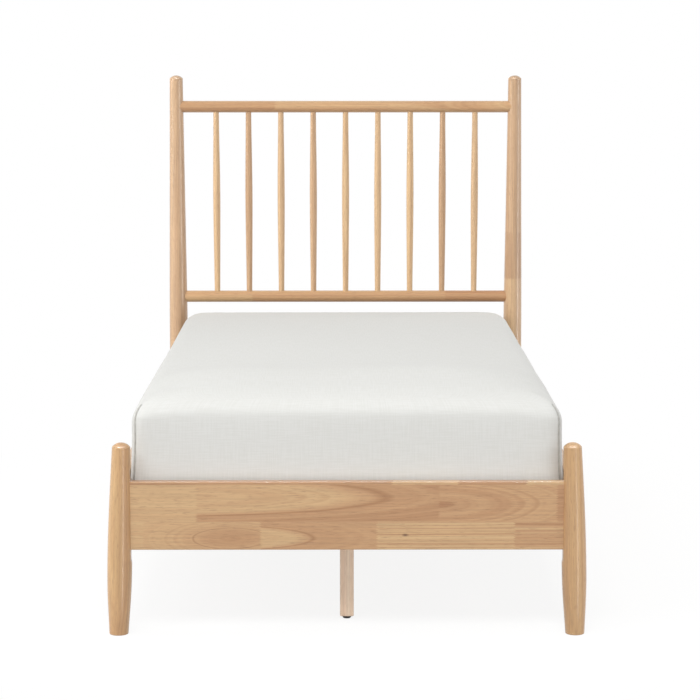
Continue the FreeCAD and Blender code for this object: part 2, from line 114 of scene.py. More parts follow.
def evaluatedMesh(piece):
    # the piece with its modifiers worked out, as a plain mesh
    graph = bpy.context.evaluated_depsgraph_get()
    return bpy.data.meshes.new_from_object(piece.evaluated_get(graph))


def soften(piece):
    subdivide = piece.modifiers.new("soft", "SUBSURF")
    subdivide.levels = subdivide.render_levels = 1


def smoothMesh(mesh):
    mesh.polygons.foreach_set("use_smooth", [True] * len(mesh.polygons))
    mesh.update()


noiseSpan = (0.3, 0.7)  # most values of a noise lie in here

# Wood

# Rubberwood, planed or turned and clear-lacquered: sap wood between straw and tan, rosy heart bands,
# open pores as short brown dashes, and a satin film with soft highlights.
rubberwood = {
    "sap": "#CBA97D", "tan": "#BE956C", "heart": "#A97B55", "tanAt": 0.45,
    "line": "#986A43", "pore": "#80593D", "knot": "#5B3B26",
    "bandDetail": 3.0, "bandRoughness": 0.6,
    "coreEdge": 5.0,  # how sharply a block's core ends
    "coreLine": 0.6, "coreLineWidth": 0.045,  # the line round it, its width a share of the core's radius
    "lineRate": 3.4, "lineDetail": 1.0, "lineDepth": 0.38,  # thin lines, so many to a band
    "lineSpan": (0.56, 0.72),  # the values of their noise that are drawn
    "warp": 0.007, "warpAlong": 0.42, "warpAcross": 0.055, "warpDetail": 2.0,
    "warpApart": 7.0,  # sets the blocks' wandering apart
    "streakAlong": 0.16, "streakAcross": 0.0026, "streakDetail": 3.0,
    "streakDepth": 0.11, "streakSpan": (0.25, 0.75),
    "poreAlong": 0.02, "poreAcross": 0.0013,  # true pores are 0.2 mm wide, drawn coarser to show
    "poreDetail": 1.0, "poreDepth": 0.38, "poreSpan": (0.58, 0.74),
    "poreBump": 0.0004, "poreBumpStrength": 0.25,
    "knotDraw": 0.45, "knotCore": 0.2, "knotDepth": 0.85,  # how far a knot is drawn out, and its dark middle
    "roughness": (0.34, 0.46), "coat": 0.55, "coatRoughness": 0.15, "ior": 1.5,
}
# Ashen boards of the same wood: greyer, for the headboard's uprights
ashenRubberwood = dict(rubberwood, sap="#C3A47C", tan="#B49473", heart="#A07D5D", streakDepth=0.17)
# Golden boards of it, for the foot posts
goldenRubberwood = dict(rubberwood, sap="#C6A374", tan="#B99064", heart="#A5754C")
# The same wood, paler for the legs: partly a paler tone, partly painted light that brightens them in the
# bed's shade
palePaintedLightRubberwood = dict(
    rubberwood, sap="#F0DCC4", tan="#EBD0B6", heart="#DDBBA0", line="#CFAE90", pore="#B99A7C",
)
# Poplar, planed and left bare: nearly white, with long faint streaks and no gloss.
poplar = dict(
    rubberwood, sap="#E2CFAE", tan="#DCC39C", heart="#CDB088", line="#CBAF88", pore="#B79872",
    poreDepth=0.2, roughness=(0.6, 0.75), coat=0.0,
)
fingers = {"pitch": 0.004, "length": 0.006}  # of the finger joints between blocks
levelGrain = (0, 0, 0)
uprightGrain = (0, -math.pi / 2, 0)
lengthwiseGrain = (0, 0, math.pi / 2)


def grainNoise(tree, look, mark, links):
    # noise drawn out along the grain, by the look's sizes for this kind of mark
    along, across = look[mark + "Along"], look[mark + "Across"]
    stretch = {"operation": "MULTIPLY_ADD", 1: (1 / along, 1 / across, 1 / across)}
    place = addNode(tree, "ShaderNodeVectorMath", stretch, links)
    settings = {"Scale": 1.0, "Detail": look[mark + "Detail"]}
    return addNode(tree, "ShaderNodeTexNoise", settings, {"Vector": place})


def laidBlocks(tree, along, up, strips):
    # what the block at each point is like, as its three rows of values: every strip is a row of blocks
    laid = None
    for strip in strips:
        before, *others = strip["blocks"]
        here = [addNode(tree, "ShaderNodeCombineXYZ", dict(zip("XYZ", row))) for row in before[1:]]
        for block in others:
            passed = addNode(tree, "ShaderNodeMath", {"operation": "GREATER_THAN", 1: block[0]}, {0: along})
            here = [
                addNode(
                    tree, "ShaderNodeVectorMath", {"operation": "MULTIPLY_ADD", 1: new - old},
                    {0: passed, 2: value},
                )
                for old, new, value in zip(before[1:], block[1:], here)
            ]
            before = block
        if laid:
            above = addNode(tree, "ShaderNodeMath", {"operation": "GREATER_THAN", 1: stripFloor}, {0: up})
            mixed = {"data_type": "VECTOR"}
            here = [
                addNode(tree, "ShaderNodeMix", mixed, {0: above, 4: under, 5: value}).outputs[1]
                for under, value in zip(laid, here)
            ]
        laid = here
        stripFloor = strip.get("top")
    return laid


def ringColour(tree, look, grain, laid):
    # growth rings round the middle that each block has for them, wandering a little along the grain
    middle, ringRow, coreRow = laid
    drawnOut, ringRate, lean = addNode(tree, "ShaderNodeSeparateXYZ", links={0: ringRow}).outputs
    coreRate, coreChange, bandSwing = addNode(tree, "ShaderNodeSeparateXYZ", links={0: coreRow}).outputs
    apart = addNode(
        tree, "ShaderNodeVectorMath", {"operation": "SCALE", "Scale": look["warpApart"]}, {0: middle}
    )
    warp = grainNoise(tree, look, "warp", {0: grain, 2: apart})
    fromMiddle = addNode(tree, "ShaderNodeVectorMath", {"operation": "SUBTRACT"}, {0: grain, 1: middle})
    shrink = addNode(tree, "ShaderNodeCombineXYZ", {"Y": 1.0, "Z": 1.0}, {"X": drawnOut})
    squeezed = addNode(tree, "ShaderNodeVectorMath", {"operation": "MULTIPLY"}, {0: fromMiddle, 1: shrink})
    radius = addNode(tree, "ShaderNodeVectorMath", {"operation": "LENGTH"}, {0: squeezed}).outputs["Value"]
    wandering = addNode(
        tree, "ShaderNodeMath", {"operation": "MULTIPLY_ADD", 1: look["warp"]}, {0: warp, 2: radius}
    )
    ring = addNode(tree, "ShaderNodeMath", {"operation": "MULTIPLY"}, {0: wandering, 1: ringRate})

    # wide bands between sap and heart, and a core that is lighter or darker than its block
    bands = addNode(
        tree, "ShaderNodeTexNoise",
        {"noise_dimensions": "1D", "Scale": 1.0, "Detail": look["bandDetail"],
         "Roughness": look["bandRoughness"]},
        {"W": ring},
    )
    swing = addNode(tree, "ShaderNodeMapRange", spread(noiseSpan, (-0.5, 0.5)), {"Value": bands})
    banded = addNode(tree, "ShaderNodeMath", {"operation": "MULTIPLY_ADD"}, {0: swing, 1: bandSwing, 2: lean})
    outwards = addNode(tree, "ShaderNodeMath", {"operation": "MULTIPLY"}, {0: wandering, 1: coreRate})
    edge = look["coreEdge"]
    inside = addNode(
        tree, "ShaderNodeMath", {"operation": "MULTIPLY_ADD", "use_clamp": True, 1: -edge, 2: edge},
        {0: outwards},
    )
    heart = addNode(
        tree, "ShaderNodeMath", {"operation": "MULTIPLY_ADD"}, {0: inside, 1: coreChange, 2: banded}
    )
    tone = addNode(tree, "ShaderNodeValToRGB", links={"Fac": heart})
    stops = tone.color_ramp.elements
    stops[0].color = linearColour(look["sap"])
    stops[1].color = linearColour(look["heart"])
    stops.new(look["tanAt"]).color = linearColour(look["tan"])

    # thin darker lines where the rings close, and one at the core's edge
    finer = addNode(tree, "ShaderNodeMath", {"operation": "MULTIPLY", 1: look["lineRate"]}, {0: ring})
    lineNoise = addNode(
        tree, "ShaderNodeTexNoise", {"noise_dimensions": "1D", "Scale": 1.0, "Detail": look["lineDetail"]},
        {"W": finer},
    )
    lines = addNode(
        tree, "ShaderNodeMapRange", spread(look["lineSpan"], (0, look["lineDepth"])), {"Value": lineNoise}
    )
    drawnLines = addNode(tree, "ShaderNodeMath", {"operation": "MULTIPLY"}, {0: lines, 1: bandSwing})
    pastCore = addNode(tree, "ShaderNodeMath", {"operation": "SUBTRACT", 1: 1.0}, {0: outwards})
    fromEdge = addNode(tree, "ShaderNodeMath", {"operation": "ABSOLUTE"}, {0: pastCore})
    coreLine = addNode(
        tree, "ShaderNodeMapRange", spread((0, look["coreLineWidth"]), (look["coreLine"], 0)),
        {"Value": fromEdge},
    )
    allLines = addNode(tree, "ShaderNodeMath", {"operation": "MAXIMUM"}, {0: drawnLines, 1: coreLine})
    return addNode(
        tree, "ShaderNodeMix", {"data_type": "RGBA", 7: linearColour(look["line"])}, {0: allLines, 6: tone}
    ).outputs[2]


def addKnot(tree, look, grain, colour, knot):
    along, up, size = knot
    drawn = look["knotDraw"]
    fromKnot = addNode(
        tree, "ShaderNodeVectorMath",
        {"operation": "MULTIPLY_ADD", 1: (drawn, 0, 1), 2: (-drawn * along, 0, -up)}, {0: grain},
    )
    reach = addNode(tree, "ShaderNodeVectorMath", {"operation": "LENGTH"}, {0: fromKnot}).outputs["Value"]
    dark = addNode(
        tree, "ShaderNodeMapRange", spread((size * look["knotCore"], size), (look["knotDepth"], 0)),
        {"Value": reach},
    )
    return addNode(
        tree, "ShaderNodeMix", {"data_type": "RGBA", 7: linearColour(look["knot"])}, {0: dark, 6: colour}
    ).outputs[2]


def makeWood(name, look, lay):
    # X of the grain space runs along the grain, and the blocks meet in finger joints
    material, tree = newMaterial(name)
    where = addNode(tree, "ShaderNodeTexCoord")
    grain = addNode(
        tree, "ShaderNodeMapping",
        {"vector_type": "TEXTURE", "Location": lay["middle"], "Rotation": lay.get("turn", levelGrain)},
        {"Vector": where.outputs["Object"]},
    )
    along, _, up = addNode(tree, "ShaderNodeSeparateXYZ", links={0: grain}).outputs
    tooth = addNode(tree, "ShaderNodeMath", {"operation": "PINGPONG", 1: fingers["pitch"] / 2}, {0: up})
    jointed = addNode(
        tree, "ShaderNodeMath", {"operation": "MULTIPLY_ADD", 1: 2 * fingers["length"] / fingers["pitch"]},
        {0: tooth, 2: along},
    )
    rings = ringColour(tree, look, grain, laidBlocks(tree, jointed, up, lay["strips"]))

    # long streaks and open pores, both drawn out along the grain
    streaks = grainNoise(tree, look, "streak", {0: grain})
    depth = look["streakDepth"]
    shade = addNode(
        tree, "ShaderNodeMapRange", spread(look["streakSpan"], (1 - depth, 1 + depth)), {"Value": streaks}
    )
    streaked = addNode(tree, "ShaderNodeVectorMath", {"operation": "SCALE"}, {0: rings, "Scale": shade})
    pores = addNode(
        tree, "ShaderNodeMapRange", spread(look["poreSpan"], (0, look["poreDepth"])),
        {"Value": grainNoise(tree, look, "pore", {0: grain})},
    )
    colour = addNode(
        tree, "ShaderNodeMix", {"data_type": "RGBA", 7: linearColour(look["pore"])}, {0: pores, 6: streaked}
    ).outputs[2]
    for knot in lay.get("knots", ()):
        colour = addKnot(tree, look, grain, colour, knot)
    rough = addNode(tree, "ShaderNodeMapRange", spread(noiseSpan, look["roughness"]), {"Value": streaks})
    bump = addNode(
        tree, "ShaderNodeBump",
        {"invert": True, "Strength": look["poreBumpStrength"], "Distance": look["poreBump"]},
        {"Height": pores},
    )
    finishMaterial(tree, addNode(
        tree, "ShaderNodeBsdfPrincipled",
        {"IOR": look["ior"], "Coat Weight": look["coat"], "Coat Roughness": look["coatRoughness"],
         "Coat IOR": look["ior"]},
        {"Base Color": colour, "Roughness": rough, "Normal": bump},
    ))
    return material


def woodBlock(start, rings, drawn, width, lean, swing=0.55, core=(1.0, 0.0)):
    # where the block starts along the grain, the middle of its rings, how far they are drawn out along
    # the grain, their width, its lean from sap (0) to heart (1), how far the bands swing round that,
    # and a core's radius and change
    return start, Vector(rings), Vector((1 / drawn, 1 / width, lean)), Vector((1 / core[0], core[1], swing))


everywhere = -9.0  # a strip's first block starts here
endRailMiddle = 0.975  # from the middle of the bed to the middle of the rails at its ends
sideRailMiddle = 0.51
frontFace = -0.011  # the foot rail's front face in its grain space

# The foot rail's lay-up, from the photograph: three strips, with the joints where it shows them
footRail = {
    "middle": (0, -endRailMiddle, 0),
    "strips": [
        {"top": 0.261, "blocks": [
            woodBlock(everywhere, (-0.47, 0.02, 0.30), 14, 0.010, 0.15, 0.4),
            woodBlock(-0.455, (-0.262, frontFace, 0.2224), 3.5, 0.020, 0.28, 0.4, (0.027, 0.30)),
            woodBlock(-0.1915, (-0.272, frontFace, 0.2224), 7.0, 0.024, 0.52, 0.35, (0.031, -0.40)),
            woodBlock(0.0705, (0.2, 0.03, 0.36), 60, 0.0065, 0.20, 0.95),
            woodBlock(0.380, (0.42, 0.05, 0.33), 40, 0.0065, 0.48, 0.8),
        ]},
        {"top": 0.345, "blocks": [
            woodBlock(everywhere, (-0.42, 0.03, 0.36), 12, 0.022, 0.16, 0.3),
            woodBlock(-0.335, (-0.40, frontFace, 0.318), 11, 0.016, 0.72, 0.45, (0.048, -0.54)),
            woodBlock(0.210, (0.205, frontFace, 0.300), 4.4, 0.024, 0.48, 0.8, (0.0105, 0.35)),
            woodBlock(0.475, (0.6, 0.02, 0.38), 20, 0.010, 0.75, 0.4),
        ]},
        {"blocks": [
            woodBlock(everywhere, (-0.4, 0.03, 0.40), 40, 0.012, 0.85),
            woodBlock(-0.335, (0, 0.03, 0.40), 40, 0.014, 0.70),
            woodBlock(0.104, (0.15, 0.04, 0.42), 40, 0.010, 0.25),
            woodBlock(0.253, (0.3, 0.04, 0.42), 40, 0.010, 0.80),
            woodBlock(0.406, (0.45, 0.04, 0.42), 40, 0.010, 0.12),
        ]},
    ],
    "knots": [(0.131, 0.230, 0.0042)],  # along, up and radius
}
# Round headboard rails: one row of blocks each
headTopRail = {"middle": (0, endRailMiddle, 0), "strips": [{"blocks": [
    woodBlock(everywhere, (-0.40, 0.03, 1.16), 18, 0.010, 0.56),
    woodBlock(-0.210, (-0.1, 0.04, 1.17), 24, 0.012, 0.30),
    woodBlock(0.130, (0.14, 0.012, 1.10), 8, 0.010, 0.44),
]}]}
headLowerRail = {"middle": (0, endRailMiddle, 0), "strips": [{"blocks": [
    woodBlock(everywhere, (-0.44, 0.03, 0.57), 16, 0.012, 0.34),
    woodBlock(-0.280, (-0.1, 0.04, 0.58), 22, 0.011, 0.48),
    woodBlock(0.306, (0.4, 0.03, 0.56), 26, 0.010, 0.82),
]}]}
# Rails that the photograph doesn't show face on: three strips of blocks in mixed tones, from these ranges
mixedRail = {
    "stripTops": (0.268, 0.338, None), "firstEnd": (0.1, 0.3), "length": (0.18, 0.36),
    "firstUp": (0.15, 0.4), "firstIn": 0.01, "firstLean": (0.2, 0.8),
    "along": (0, 0.3), "in": (0, 0.03), "up": (0.18, 0.38), "lean": (0.15, 0.8),
    "drawn": (5, 30), "width": (0.01, 0.02),
    "crossSpan": 0.49, "sideSpan": 0.96,  # half lengths
}


def mixedLay(seed, middle, turn, span):
    pick = random.Random(seed)

    def draw(key):
        return pick.uniform(*mixedRail[key])

    strips = []
    for top in mixedRail["stripTops"]:
        rings = (pick.uniform(-span, span), mixedRail["firstIn"], draw("firstUp"))
        blocks = [woodBlock(everywhere, rings, draw("drawn"), draw("width"), draw("firstLean"))]
        at = -span + draw("firstEnd")
        while at < span:
            rings = (at + draw("along"), draw("in"), draw("up"))
            blocks.append(woodBlock(at, rings, draw("drawn"), draw("width"), draw("lean")))
            at += draw("length")
        strips.append({"top": top, "blocks": blocks})
    return {"middle": middle, "turn": turn, "strips": strips}


def pieceLay(middle, turn, grain):
    # a piece out of one blank, or out of a few blocks in a row
    first = woodBlock(everywhere, grain["rings"], grain["drawn"], grain["width"], grain["lean"])
    return {"middle": middle, "turn": turn, "strips": [{"blocks": [first, *grain.get("more", ())]}]}


crossRail = mixedLay(11, (0, endRailMiddle, 0), levelGrain, mixedRail["crossSpan"])
dress("foot_rail", makeWood("rubberwood foot rail", rubberwood, footRail))
dress("head_top_rail", makeWood("rubberwood top rail", rubberwood, headTopRail))
dress("head_lower_rail", makeWood("rubberwood lower rail", rubberwood, headLowerRail))
dress("head_cross_rail", makeWood("rubberwood cross rail", rubberwood, crossRail))
for nodeName, side, seed in (("side_rail_left", -1, 21), ("side_rail_right", 1, 22)):
    lay = mixedLay(seed, (side * sideRailMiddle, 0, 0), lengthwiseGrain, mixedRail["sideSpan"])
    dress(nodeName, makeWood("rubberwood " + nodeName.replace("_", " "), rubberwood, lay))

# Turned pieces: the middle of the rings in each blank, its lean from sap to heart, and its slant in degrees
turnedPieces = {
    "foot_post_left": {
        "rings": (0.05, 0.028, -0.016), "drawn": 24, "width": 0.012, "lean": 0.42, "slant": 2.5,
    },
    "foot_post_right": {
        "rings": (0.30, -0.024, 0.03), "drawn": 30, "width": 0.014, "lean": 0.34, "slant": -1.5,
    },
    "head_post_left": {
        "rings": (0.9, 0.05, 0.03), "drawn": 40, "width": 0.013, "lean": 0.58, "slant": 0.6,
    },
    "head_post_right": {
        "rings": (0.4, -0.03, -0.03), "drawn": 36, "width": 0.012, "lean": 0.30, "slant": -0.5,
        "more": [
            woodBlock(0.593, (0.6, 0.02, -0.03), 30, 0.010, 0.78),
            woodBlock(0.734, (0.9, -0.03, -0.02), 40, 0.009, 0.55),
        ],
    },
}
spindleGrain = {
    "leans": (0.32, 0.62, 0.34, 0.52, 0.14, 0.22, 0.12, 0.62, 0.28),
    "drawn": 45, "width": 0.011, "ringsUp": 0.8,
    "ringsAcross": (0.02, 0.026, 0.032), "ringsIn": (0.02, 0.007, -0.006, -0.019), "slants": (-0.4, 0, 0.4),
}
for number, (nodeName, lean) in enumerate(zip(spindleNames, spindleGrain["leans"]), 1):
    across, inwards, slant = (
        spindleGrain[key][number % len(spindleGrain[key])] for key in ("ringsAcross", "ringsIn", "slants")
    )
    turnedPieces[nodeName] = {
        "rings": (spindleGrain["ringsUp"], across, inwards), "drawn": spindleGrain["drawn"],
        "width": spindleGrain["width"], "lean": lean, "slant": slant,
    }
for nodeName, grain in turnedPieces.items():
    axis = middleOf(nodeName)
    slant = math.radians(grain["slant"])
    lay = pieceLay((axis.x, axis.y, 0), (slant, slant - math.pi / 2, 0), grain)
    look = ashenRubberwood if nodeName.startswith("head") else goldenRubberwood
    dress(nodeName, makeWood("turned rubberwood " + nodeName.replace("_", " "), look, lay))

# Legs, beam, cleats and dowels are rubberwood, the legs' brightened by painted light, the slats poplar
legGrain = {"rings": (0.1, 0.05, 0.04), "drawn": 30, "width": 0.010, "lean": 0.45}
beamGrain = {"rings": (0.2, 0.05, 0.06), "drawn": 40, "width": 0.011, "lean": 0.45, "middle": (0, 0, 0.257)}
slatGrain = {"rings": (0.3, 1.4, 0.2), "drawn": 30, "width": 0.016, "lean": 0.35, "middle": (0, 0, 0.3)}
for nodeName in legNames:
    axis = middleOf(nodeName)
    lay = pieceLay((axis.x, axis.y, 0), uprightGrain, legGrain)
    dress(nodeName, makeWood("rubberwood " + nodeName.replace("_", " "), palePaintedLightRubberwood, lay))
beamLay = pieceLay(beamGrain["middle"], lengthwiseGrain, beamGrain)
supportWood = makeWood("rubberwood beam and cleats", rubberwood, beamLay)
for nodeName in ("centre_beam", "cleat_left", "cleat_right", "cross_rail_dowels"):
    dress(nodeName, supportWood)
slatWood = makeWood("planed poplar slats", poplar, pieceLay(slatGrain["middle"], levelGrain, slatGrain))
for nodeName in slatNames:
    dress(nodeName, slatWood)
print("wood dressed")

# Fittings and thread

finishes = {
    # zinc plate over cold-formed steel: a cool grey with faint blotches from the bath
    "zinc": {"name": "zinc plated steel", "colour": "#C6C9CB", "dark": "#A9ADB0", "grain": 0.003,
             "roughness": (0.26, 0.42), "metallic": 1.0, "bump": 0.00003},
    # powder coat on bent steel: black with a fine orange-peel skin
    "powder": {"name": "black powder coat", "colour": "#1B1B1C", "dark": "#141415", "grain": 0.0012,
               "roughness": (0.4, 0.55), "metallic": 0.0, "bump": 0.00008},
    # nylon, injection moulded: black with a spark-eroded matt face
    "nylon": {"name": "moulded black nylon", "colour": "#1C1C1D", "dark": "#151516", "grain": 0.0008,
              "roughness": (0.5, 0.65), "metallic": 0.0, "bump": 0.00005},
    # cotton thread, spun and twisted: a dull off-white, a shade darker than the sheet
    "thread": {"name": "cotton sewing thread", "colour": "#D2D0CA", "dark": "#BDBBB4", "grain": 0.0006,
               "roughness": (0.8, 0.9), "metallic": 0.0, "bump": 0.00005},
}
gritMake = {"detail": 3.0, "bumpStrength": 0.4}


def makeFinish(look):
    material, tree = newMaterial(look["name"])
    where = addNode(tree, "ShaderNodeTexCoord")
    grit = addNode(
        tree, "ShaderNodeTexNoise", {"Scale": 1 / look["grain"], "Detail": gritMake["detail"]},
        {"Vector": where.outputs["Object"]},
    )
    colours = {"data_type": "RGBA", 6: linearColour(look["colour"]), 7: linearColour(look["dark"])}
    colour = addNode(tree, "ShaderNodeMix", colours, {0: grit}).outputs[2]
    rough = addNode(tree, "ShaderNodeMapRange", spread(noiseSpan, look["roughness"]), {"Value": grit})
    bump = addNode(
        tree, "ShaderNodeBump", {"Strength": gritMake["bumpStrength"], "Distance": look["bump"]},
        {"Height": grit},
    )
    finishMaterial(tree, addNode(
        tree, "ShaderNodeBsdfPrincipled", {"Metallic": look["metallic"]},
        {"Base Color": colour, "Roughness": rough, "Normal": bump},
    ))
    return material


zincSteel = makeFinish(finishes["zinc"])
powderCoat = makeFinish(finishes["powder"])
blackNylon = makeFinish(finishes["nylon"])
sewingThread = makeFinish(finishes["thread"])
for nodeName in (
    "insert_nuts", "half_moon_washers", "rail_nuts", "rail_studs", "leg_bolts",
    "deck_screws", "bracket_screws",
):
    dress(nodeName, zincSteel)
for place in legPlaces:
    dress("leveller_stud_" + place, zincSteel)
    dress("leveller_pad_" + place, blackNylon)
dress("beam_bracket_foot", powderCoat)
dress("beam_bracket_head", powderCoat)
print("fittings dressed")

# Cloth

# Cotton, plain woven and washed: off-white with slubs along both threads and no gloss.
sheetCloth = {
    # the crease colour is a painted shade, laid along the corner seams where their groove falls in shade
    "name": "washed plain-weave cotton", "colour": "#D8D8D5", "slubShade": "#D3D3CF", "creaseShade": "#77756F",
    "thread": 0.0026, "slub": 0.05,  # true threads are 0.3 mm apart, drawn coarser to show
    "slubSpan": (0.75, 1.25), "slubDetail": 2.0, "bump": 0.00009, "bumpStrength": 0.5,
    "roughness": 0.92, "sheen": 0.12, "sheenRoughness": 0.5, "ior": 1.45, "specular": 0.25,
}
# Polyester ticking, knitted and quilted to foam: a brighter white with short, coarse slubs.
tickingCloth = dict(
    # its crease colour is a painted shade too, lighter than the sheet's
    sheetCloth, name="knitted mattress ticking", colour="#EDEDEB", slubShade="#E2E2DF", creaseShade="#A9A8A4",
    thread=0.003, slub=0.02, bump=0.0003, roughness=0.88, sheen=0.1,
)


def makeCloth(look):
    material, tree = newMaterial(look["name"])
    weave = addNode(tree, "ShaderNodeUVMap", {"uv_map": "weave"})
    along, across = 1 / look["slub"], 1 / look["thread"]
    slubNoise = {"noise_dimensions": "2D", "Scale": 1.0, "Detail": look["slubDetail"]}
    slubs = {}
    for number, stretch in enumerate(((along, across, 0), (across, along, 0))):
        space = addNode(tree, "ShaderNodeVectorMath", {"operation": "MULTIPLY", 1: stretch}, {0: weave})
        slubs[number] = addNode(tree, "ShaderNodeTexNoise", slubNoise, {"Vector": space})
    both = addNode(tree, "ShaderNodeMath", {"operation": "ADD"}, slubs)
    slubShare = addNode(tree, "ShaderNodeMapRange", spread(look["slubSpan"], (0, 1)), {"Value": both})
    colours = {"data_type": "RGBA", 6: linearColour(look["colour"]), 7: linearColour(look["slubShade"])}
    woven = addNode(tree, "ShaderNodeMix", colours, {0: slubShare}).outputs[2]
    # painted shade: the cloth darkens towards its crease colour along the corner seams
    creaseShade = addNode(tree, "ShaderNodeAttribute", {"attribute_name": "seamCreaseShade"}).outputs["Fac"]
    colour = addNode(
        tree, "ShaderNodeMix", {"data_type": "RGBA", 7: linearColour(look["creaseShade"])}, {0: creaseShade, 6: woven}
    ).outputs[2]
    bump = addNode(
        tree, "ShaderNodeBump", {"Strength": look["bumpStrength"], "Distance": look["bump"]}, {"Height": both}
    )
    finishMaterial(tree, addNode(
        tree, "ShaderNodeBsdfPrincipled",
        {"Roughness": look["roughness"], "IOR": look["ior"], "Specular IOR Level": look["specular"],
         "Sheen Weight": look["sheen"], "Sheen Roughness": look["sheenRoughness"]},
        {"Base Color": colour, "Normal": bump},
    ))
    return material


sheetCotton = makeCloth(sheetCloth)
ticking = makeCloth(tickingCloth)

# Mattress

mattressMake = {
    "edgeBand": 0.072, "fine": 0.008, "coarse": 0.022,  # spacing of the grid near the edges and in between
    "baseRows": 3, "wallRows": 11, "rollRows": 9,  # rows of the grid up a side
    "thickness": 0.222, "headFall": 0.040,  # at half length, and the fall of the top from foot to head
    "corner": 0.036, "headCorner": 0.066, "roll": 0.052, "headRoll": 0.058, "baseRoll": 0.018,
    "footRoll": (0.100, 0.036),  # the foot end's roll is longer than it is deep
    "rollBlend": 0.16,  # over this width it blends in at the corners
    "crown": 0.014, "crownReach": 0.33, "sideBow": 0.004, "headBow": -0.003, "endBow": 0.003,
    "spread": 0.0065,  # how far the sides settle outwards
    "frames": 20, "hold": 0.3, "cap": 0.005,  # foam that swells into its cover, held softly
    "cover": {
        "quality": 5, "mass": 0.3, "use_pressure": True, "uniform_pressure_force": 3.0,
        "tension_stiffness": 30, "compression_stiffness": 30, "bending_stiffness": 2,
    },
    "waveHeight": 0.0030, "waveLength": 0.36, "waveFrom": (3.1, 8.7, 1.3),  # the worn top lies in soft waves
    "plump": 0.026, "plumpAt": -0.68, "plumpReach": 0.17, "plumpPower": 4,  # plumper behind the foot end
    "dipAt": -0.10, "dipReach": 0.18, "dipShare": 0.4,  # less so beside the middle
    "footLift": 0.012, "footLiftReach": 0.16, "footLiftPower": 2,
    "acrossPower": 6, "alongPower": 12,  # how late these fade out towards the sides and the ends
}
padLow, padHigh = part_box("mattress")
padHalf = (padHigh - padLow) / 2
padThick = mattressMake["thickness"]
nearly = 1e-6  # slack in comparing heights
noZero = 1e-9  # keeps divisions safe


def gridLine(low, high, make):
    band = make["edgeBand"]
    edge = max(1, round(band / make["fine"]))
    inner = max(1, round((high - low - 2 * band) / make["coarse"]))
    return np.concatenate([
        np.linspace(low, low + band, edge, endpoint=False),
        np.linspace(low + band, high - band, inner, endpoint=False),
        np.linspace(high - band, high, edge + 1),
    ])


def padGrid(make):
    # a box of quads: its points as (x, y, height), its faces, and the wall that each face lies on
    xs = gridLine(-padHalf.x, padHalf.x, make)
    ys = gridLine(-padHalf.y, padHalf.y, make)
    edgeTop = padThick - make["crown"]
    zs = np.concatenate([
        np.linspace(0, make["baseRoll"], make["baseRows"], endpoint=False),
        np.linspace(make["baseRoll"], edgeTop - make["roll"], make["wallRows"], endpoint=False),
        np.linspace(edgeTop - make["roll"], edgeTop, make["rollRows"]),
    ])
    index, points, faces, walls = {}, [], [], []

    def pointAt(i, j, k):
        if (i, j, k) not in index:
            index[(i, j, k)] = len(points)
            points.append((xs[i], ys[j], zs[k]))
        return index[(i, j, k)]

    def addFace(wall, *corners):
        faces.append(tuple(pointAt(*corner) for corner in corners))
        walls.append(wall)

    lastX, lastY, lastZ = len(xs) - 1, len(ys) - 1, len(zs) - 1
    for i in range(lastX):
        for j in range(lastY):
            addFace("top", (i, j, lastZ), (i + 1, j, lastZ), (i + 1, j + 1, lastZ), (i, j + 1, lastZ))
            addFace("base", (i, j, 0), (i, j + 1, 0), (i + 1, j + 1, 0), (i + 1, j, 0))
    for k in range(lastZ):
        for i in range(lastX):
            addFace("foot", (i, 0, k), (i + 1, 0, k), (i + 1, 0, k + 1), (i, 0, k + 1))
            addFace("head", (i, lastY, k), (i, lastY, k + 1), (i + 1, lastY, k + 1), (i + 1, lastY, k))
        for j in range(lastY):
            addFace("left", (0, j, k), (0, j, k + 1), (0, j + 1, k + 1), (0, j + 1, k))
            addFace("right", (lastX, j, k), (lastX, j + 1, k), (lastX, j + 1, k + 1), (lastX, j, k + 1))
    return np.array(points), faces, walls


def roundOff(a, b):
    # a square corner region turned into a round one
    size = np.hypot(a, b)
    share = np.divide(np.maximum(a, b), size, out=np.ones_like(size), where=size > noZero)
    return a * share, b * share


